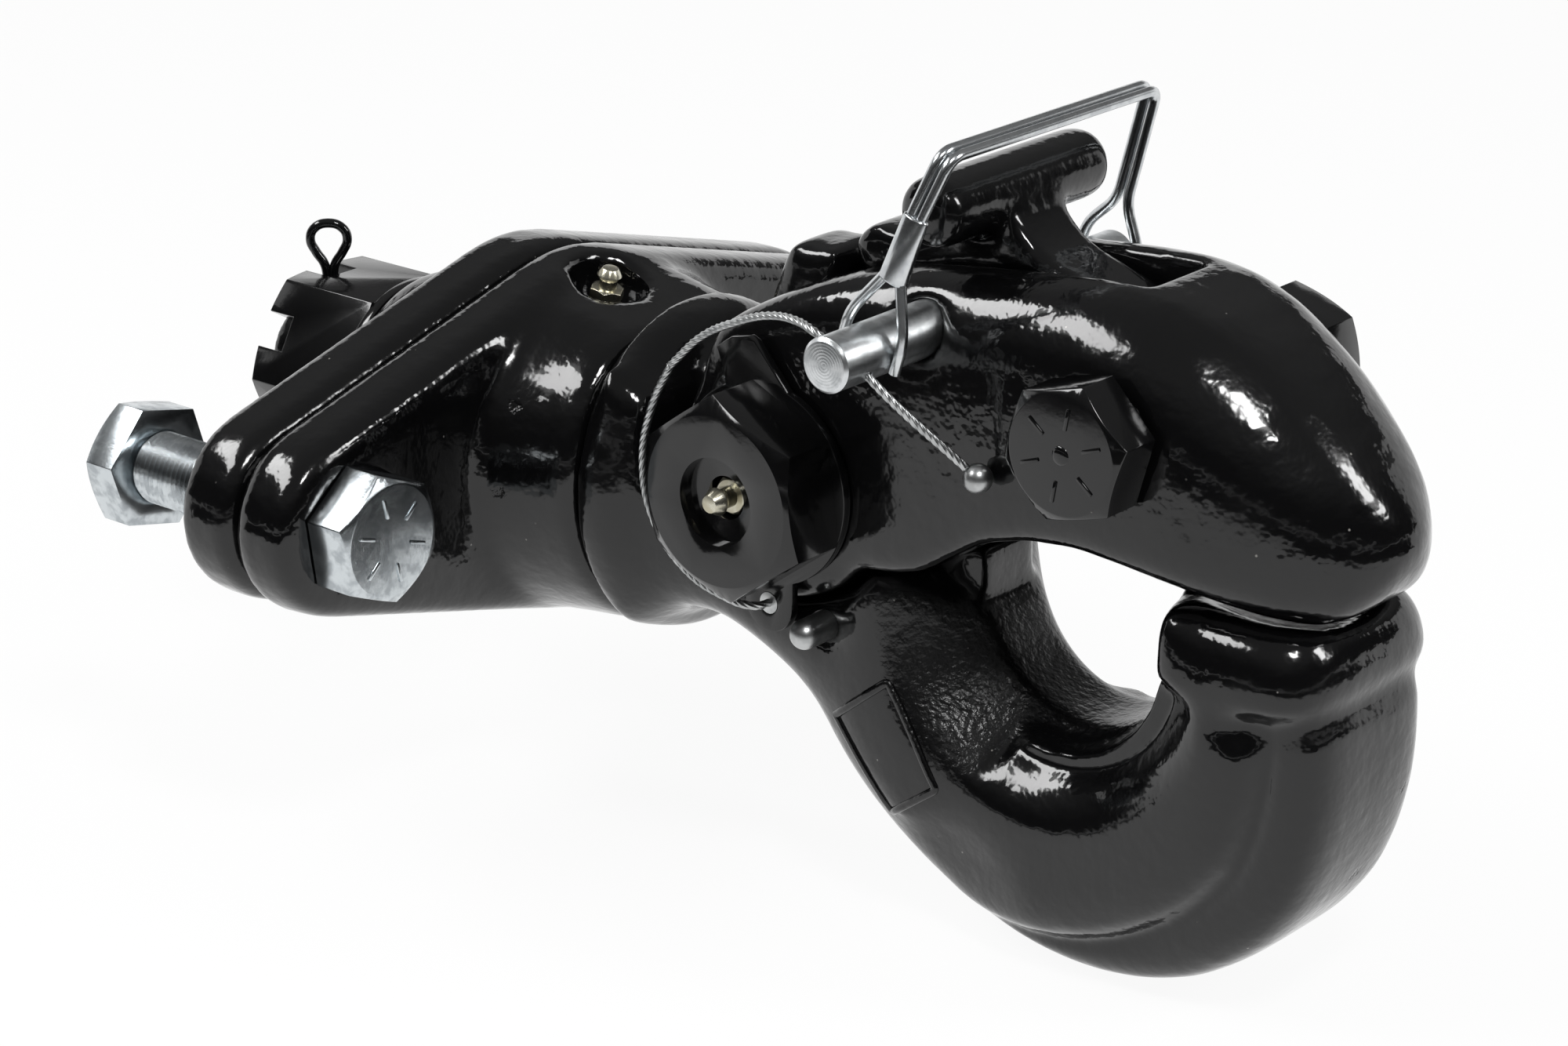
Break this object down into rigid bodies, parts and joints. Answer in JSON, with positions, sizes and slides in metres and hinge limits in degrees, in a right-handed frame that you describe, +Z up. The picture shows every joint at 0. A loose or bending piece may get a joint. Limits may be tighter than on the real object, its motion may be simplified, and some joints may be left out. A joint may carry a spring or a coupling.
{
  "type": "pintle hook",
  "caption": "Swivel-mount towing pintle hook with a diamond mounting plate, a hinged upper jaw, a locking lever and a safety pin on a wire lanyard.",
  "frame": {"origin": "where the swivel axis meets the rear face of the back plate, the face that bears on the vehicle's frame member", "axes": "+X along the swivel axis from the mount towards the hook, +Z up through the jaw pivot's side, -Y the side that shows the pivot bolt's head and the safety pin's handle end"},
  "size_m": [0.3379, 0.222, 0.1947],
  "materials": {
    "black_paint": "gloss black paint over a forged or cast steel skin",
    "black_hardware": "satin black oxide or paint on steel fasteners",
    "zinc_steel": "bright zinc plating",
    "zinc_wire": "bright zinc plated wire",
    "wire_rope": "galvanised steel wire rope",
    "grease_fitting": "yellow zinc plating",
    "bronze": "plain bronze"
  },
  "bodies": {
    "mount": {"back_plate": "black_paint", "swivel_housing": "black_paint", "mount_bolts": "zinc_steel", "mount_nuts": "zinc_steel", "housing_zerk": "grease_fitting"},
    "hook": {"hook_body": "black_paint", "castle_nut": "black_hardware", "cotter_pin": "black_hardware", "shank_washer": "black_hardware", "pivot_bolt": "black_hardware", "pivot_nut": "black_hardware", "pivot_zerk": "grease_fitting", "pivot_bush": "bronze", "tab_washer": "black_hardware", "stop_stud": "zinc_steel", "lanyard_cable": "wire_rope", "lanyard_ferrule": "wire_rope"},
    "jaw": {"upper_jaw": "black_paint", "lock_bolt": "black_hardware", "lock_nut": "black_hardware"},
    "lock": {"lock_lever": "black_paint"},
    "pin": {"safety_pin": "zinc_steel", "lanyard_ball": "wire_rope"},
    "bail": {"bail_wire": "zinc_wire", "bail_sleeve": "zinc_wire"}
  },
  "joints": [
    {"name": "swivel", "type": "hinge", "parent": "mount", "child": "hook", "pos_m": [0, 0, 0], "axis": [1, 0, 0], "continuous": true},
    {"name": "jaw_open", "type": "hinge", "parent": "hook", "child": "jaw", "pos_m": [0.119, 0, 0.016], "axis": [0, -1, 0], "range_deg": [0, 50], "deforming": ["lanyard_cable"]},
    {"name": "lock_lift", "type": "hinge", "parent": "jaw", "child": "lock", "pos_m": [0.21, 0, 0.046], "axis": [0, 1, 0], "range_deg": [0, 20]},
    {"name": "pin_pull", "type": "slide", "parent": "jaw", "child": "pin", "axis": [0, -1, 0], "range_m": [0, 0.088], "deforming": ["bail_wire", "lanyard_cable"]},
    {"name": "bail_swing", "type": "hinge", "parent": "pin", "child": "bail", "pos_m": [0.158, -0.046, 0.059], "axis": [0.9511, 0, -0.309], "range_deg": [0, 60]}
  ],
  "couplings": [
    {"joint": "lock_lift", "follows": "jaw_open", "ratio": 0.4},
    {"joint": "bail_swing", "follows": "jaw_open", "ratio": 1.2}
  ]
}
